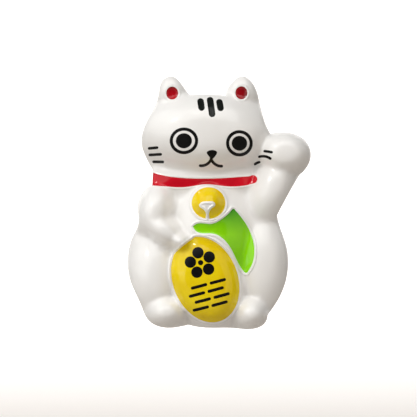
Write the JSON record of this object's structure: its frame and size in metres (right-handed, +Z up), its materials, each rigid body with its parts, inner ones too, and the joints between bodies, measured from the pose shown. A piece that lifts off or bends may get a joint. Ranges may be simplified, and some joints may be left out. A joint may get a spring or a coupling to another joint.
{
  "type": "beckoning cat pin badge",
  "caption": "Half-round enamelled metal badge of a cat with one raised paw, a bell collar and an oval coin; tack post and winged spring clutch on the back.",
  "frame": {"origin": "where the post's axis meets the badge's flat back", "axes": "+Z up the cat's height, +Y out of the back along the post, so the relief faces -Y; +X to the raised paw"},
  "size_m": [0.0182, 0.0133, 0.0251],
  "materials": {
    "white_enamel": "glossy white enamel over die-cast zinc",
    "ear_red": "translucent dark red enamel, dished",
    "black_enamel": "black enamel in recessed slots",
    "collar_red": "glossy red enamel",
    "bell_yellow": "glossy yellow enamel",
    "bib_green": "translucent green enamel, darker where it lies deep",
    "coin_yellow": "glossy golden yellow enamel",
    "black_ink": "printed black ink film",
    "post_steel": "bright nickel-plated steel wire, turned",
    "solder": "soft solder, dull grey",
    "clutch_brass": "stamped brass, lightly worn",
    "wing_brass": "rolled spring brass, grain along the strip"
  },
  "bodies": {
    "badge": {"body_casting": "white_enamel", "ear_enamel_left": "ear_red", "ear_enamel_right": "ear_red", "forehead_stripe_left": "black_enamel", "forehead_stripe_middle": "black_enamel", "forehead_stripe_right": "black_enamel", "collar_enamel": "collar_red", "bell_enamel": "bell_yellow", "bib_enamel": "bib_green", "coin_enamel": "coin_yellow", "coin_print": "black_ink", "eye_ring_left": "black_ink", "eye_ring_right": "black_ink", "pupil_left": "black_ink", "pupil_right": "black_ink", "nose_and_mouth": "black_ink", "whiskers_left": "black_ink", "whiskers_right": "black_ink", "tack_post": "post_steel", "solder_ring": "solder"},
    "clutch": {"clutch_base": "clutch_brass"},
    "wing_left": {"clutch_wing_left": "wing_brass"},
    "wing_right": {"clutch_wing_right": "wing_brass"}
  },
  "joints": [
    {"name": "clutch_pull", "type": "slide", "parent": "badge", "child": "clutch", "axis": [0, 1, 0], "range_m": [0, 0.011]},
    {"name": "squeeze_left", "type": "slide", "parent": "clutch", "child": "wing_left", "axis": [1, 0, 0], "range_m": [0, 0.00035], "stiffness_N_per_m": 800},
    {"name": "squeeze_right", "type": "slide", "parent": "clutch", "child": "wing_right", "axis": [-1, 0, 0], "range_m": [0, 0.00035], "stiffness_N_per_m": 800}
  ],
  "couplings": [
    {"joint": "squeeze_right", "follows": "squeeze_left", "ratio": 1}
  ]
}
